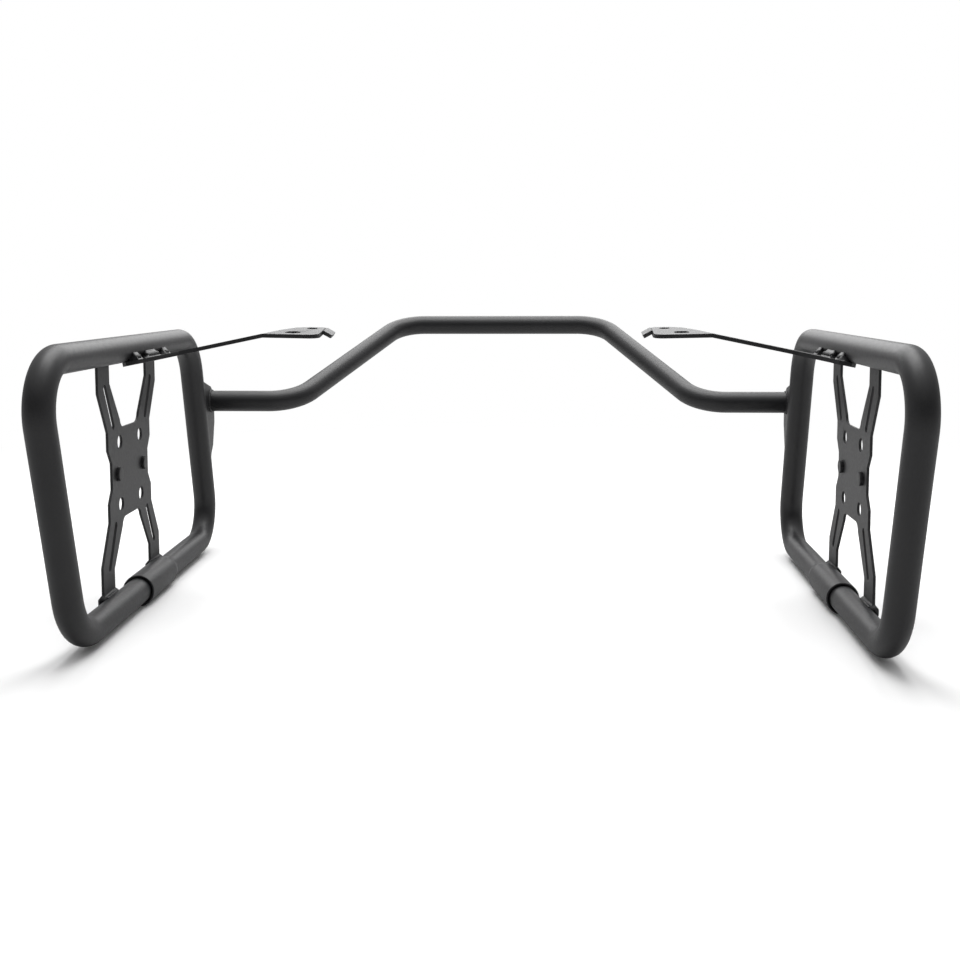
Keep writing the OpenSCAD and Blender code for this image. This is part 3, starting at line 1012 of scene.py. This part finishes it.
@dataclass
class Studio:
    """Plain pale floor, white backdrop and soft lamps, in metres.

    Attributes:
        floor_size: Width of the floor.
        floor_colour: Colour of the floor.
        floor_bounce: Colour of the floor as the stay sees it.
        white_from: Distance at which the floor starts to fade into the backdrop's white.
        white_at: Distance at which it has faded.
        sky_top: Strength of the sky overhead.
        sky_front: Strength of the sky behind the camera.
        sky_back: Strength of the sky behind the stay.
        lamps: Name, place, width and power of each soft lamp.
    """

    floor_size: float = 30.0
    floor_colour: tuple[float, float, float] = (0.93, 0.93, 0.93)
    floor_bounce: tuple[float, float, float] = (0.5, 0.5, 0.5)
    white_from: float = 0.45
    white_at: float = 1.1
    sky_top: float = 1.0
    sky_front: float = 0.0
    sky_back: float = 0.55
    lamps: list[tuple[str, tuple[float, float, float], float, float]] = field(
        default_factory=lambda: [
            ("top_softbox", (0.0, 0.35, 1.9), 1.5, 30.0),
            ("back_softbox", (0.0, 1.9, 1.4), 1.6, 20.0),
        ]
    )

    def build(self) -> None:
        """Makes the floor, the world and the lamps."""
        self.make_floor()
        self.make_world()
        for name, place, size, power in self.lamps:
            self.make_lamp(name, Vector(place), size, power)
        bpy.context.scene.view_settings.view_transform = "Standard"

    def make_floor(self) -> None:
        """Makes a wide flat floor that fades into the backdrop's white far from the stay."""
        mesh = bpy.data.meshes.new("floor")
        half = self.floor_size / 2
        corners = [(-half, -half, 0.0), (half, -half, 0.0), (half, half, 0.0), (-half, half, 0.0)]
        mesh.from_pydata(corners, [], [(0, 1, 2, 3)])
        floor = bpy.data.objects.new("floor", mesh)
        bpy.context.scene.collection.objects.link(floor)
        material = bpy.data.materials.new("pale_floor")
        material.use_nodes = True
        nodes, links = material.node_tree.nodes, material.node_tree.links
        shader = nodes["Principled BSDF"]
        shader.inputs["Roughness"].default_value = 0.9
        shader.inputs["Specular IOR Level"].default_value = 0.0
        white = nodes.new("ShaderNodeEmission")
        white.inputs["Color"].default_value = (1.0, 1.0, 1.0, 1.0)
        white.inputs["Strength"].default_value = 1.0
        place = nodes.new("ShaderNodeTexCoord")
        distance = nodes.new("ShaderNodeVectorMath")
        distance.operation = "LENGTH"
        links.new(place.outputs["Object"], distance.inputs[0])
        fade = nodes.new("ShaderNodeMapRange")
        fade.interpolation_type = "SMOOTHSTEP"
        fade.inputs["From Min"].default_value = self.white_from
        fade.inputs["From Max"].default_value = self.white_at
        links.new(distance.outputs["Value"], fade.inputs["Value"])
        ray = nodes.new("ShaderNodeLightPath")
        colour = nodes.new("ShaderNodeMix")
        colour.data_type = "RGBA"
        colour.inputs["A"].default_value = (*self.floor_bounce, 1.0)
        colour.inputs["B"].default_value = (*self.floor_colour, 1.0)
        links.new(ray.outputs["Is Camera Ray"], colour.inputs["Factor"])
        links.new(colour.outputs["Result"], shader.inputs["Base Color"])
        amount = nodes.new("ShaderNodeMath")
        amount.operation = "MULTIPLY"
        links.new(fade.outputs["Result"], amount.inputs[0])
        links.new(ray.outputs["Is Camera Ray"], amount.inputs[1])
        blend = nodes.new("ShaderNodeMixShader")
        links.new(amount.outputs["Value"], blend.inputs[0])
        links.new(shader.outputs[0], blend.inputs[1])
        links.new(white.outputs[0], blend.inputs[2])
        links.new(blend.outputs[0], nodes["Material Output"].inputs["Surface"])
        mesh.materials.append(material)

    def make_world(self) -> None:
        """Makes a sky that is white to the camera and dim towards the front."""
        world = bpy.data.worlds.new("studio_sky")
        bpy.context.scene.world = world
        world.use_nodes = True
        nodes, links = world.node_tree.nodes, world.node_tree.links
        nodes.clear()
        place = nodes.new("ShaderNodeTexCoord")
        split = nodes.new("ShaderNodeSeparateXYZ")
        links.new(place.outputs["Generated"], split.inputs[0])
        depth = nodes.new("ShaderNodeMapRange")
        depth.inputs["From Min"].default_value = -1.0
        depth.inputs["From Max"].default_value = 1.0
        depth.inputs["To Min"].default_value = self.sky_front
        depth.inputs["To Max"].default_value = self.sky_back
        links.new(split.outputs["Y"], depth.inputs["Value"])
        up = nodes.new("ShaderNodeMapRange")
        up.inputs["From Min"].default_value = 0.35
        up.inputs["From Max"].default_value = 1.0
        links.new(split.outputs["Z"], up.inputs["Value"])
        mix = nodes.new("ShaderNodeMix")
        mix.data_type = "FLOAT"
        mix.inputs["B"].default_value = self.sky_top
        links.new(up.outputs[0], mix.inputs["Factor"])
        links.new(depth.outputs[0], mix.inputs["A"])
        light = nodes.new("ShaderNodeBackground")
        light.inputs["Color"].default_value = (1.0, 1.0, 1.0, 1.0)
        links.new(mix.outputs["Result"], light.inputs["Strength"])
        white = nodes.new("ShaderNodeBackground")
        white.inputs["Color"].default_value = (1.0, 1.0, 1.0, 1.0)
        white.inputs["Strength"].default_value = 1.0
        ray = nodes.new("ShaderNodeLightPath")
        choose = nodes.new("ShaderNodeMixShader")
        links.new(ray.outputs["Is Camera Ray"], choose.inputs[0])
        links.new(light.outputs[0], choose.inputs[1])
        links.new(white.outputs[0], choose.inputs[2])
        result = nodes.new("ShaderNodeOutputWorld")
        links.new(choose.outputs[0], result.inputs["Surface"])

    def make_lamp(self, name: str, place: Vector, size: float, power: float) -> None:
        """Makes a square soft lamp that points at the stay's middle.

        Args:
            name: Name of the lamp.
            place: Where it hangs.
            size: Length of its side.
            power: Power in watts.
        """
        data = bpy.data.lights.new(name, "AREA")
        data.shape = "SQUARE"
        data.size = size
        data.energy = power
        lamp = bpy.data.objects.new(name, data)
        bpy.context.scene.collection.objects.link(lamp)
        aim = Vector((0.0, 0.1, 0.1)) - place
        lamp.matrix_world = Matrix.Translation(place) @ aim.to_track_quat("-Z", "Y").to_matrix().to_4x4()


def main() -> None:
    """Builds the looks."""
    logging.basicConfig(level=logging.INFO)
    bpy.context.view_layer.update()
    grain = coat_grain_group()
    tube_coat = PowderCoat("tube_coat", grain).build()
    sheet_coat = PowderCoat("sheet_coat", grain, bump=0.04, grain_per_m=2600.0).build()
    weld_coat = PowderCoat("weld_coat", grain, roughness=(0.34, 0.46), grain_per_m=1800.0).build()
    Crossbar().build(tube_coat)
    ripples = Ripples()
    plan = BeadPlan()
    for side in Side:
        Hoop(side).build(tube_coat)
        for part in ("bag_plate", "arm", "bracket"):
            SheetPart(f"{part}_{side.word}").build(sheet_coat)
        WeldNuts(side).build(sheet_coat)
        beads = {
            "plate_welds": plan.plate_runs(),
            "arm_weld": plan.arm_runs(),
            "bracket_welds": plan.bracket_runs(),
            "crossbar_weld": plan.crossbar_runs(),
        }
        for name, runs in beads.items():
            WeldBeads(f"{name}_{side.word}", runs, SIZES.side_matrix(side), ripples).build(weld_coat)
    PhotoCamera().build()
    Studio().build()


if __name__ == "__main__":
    main()
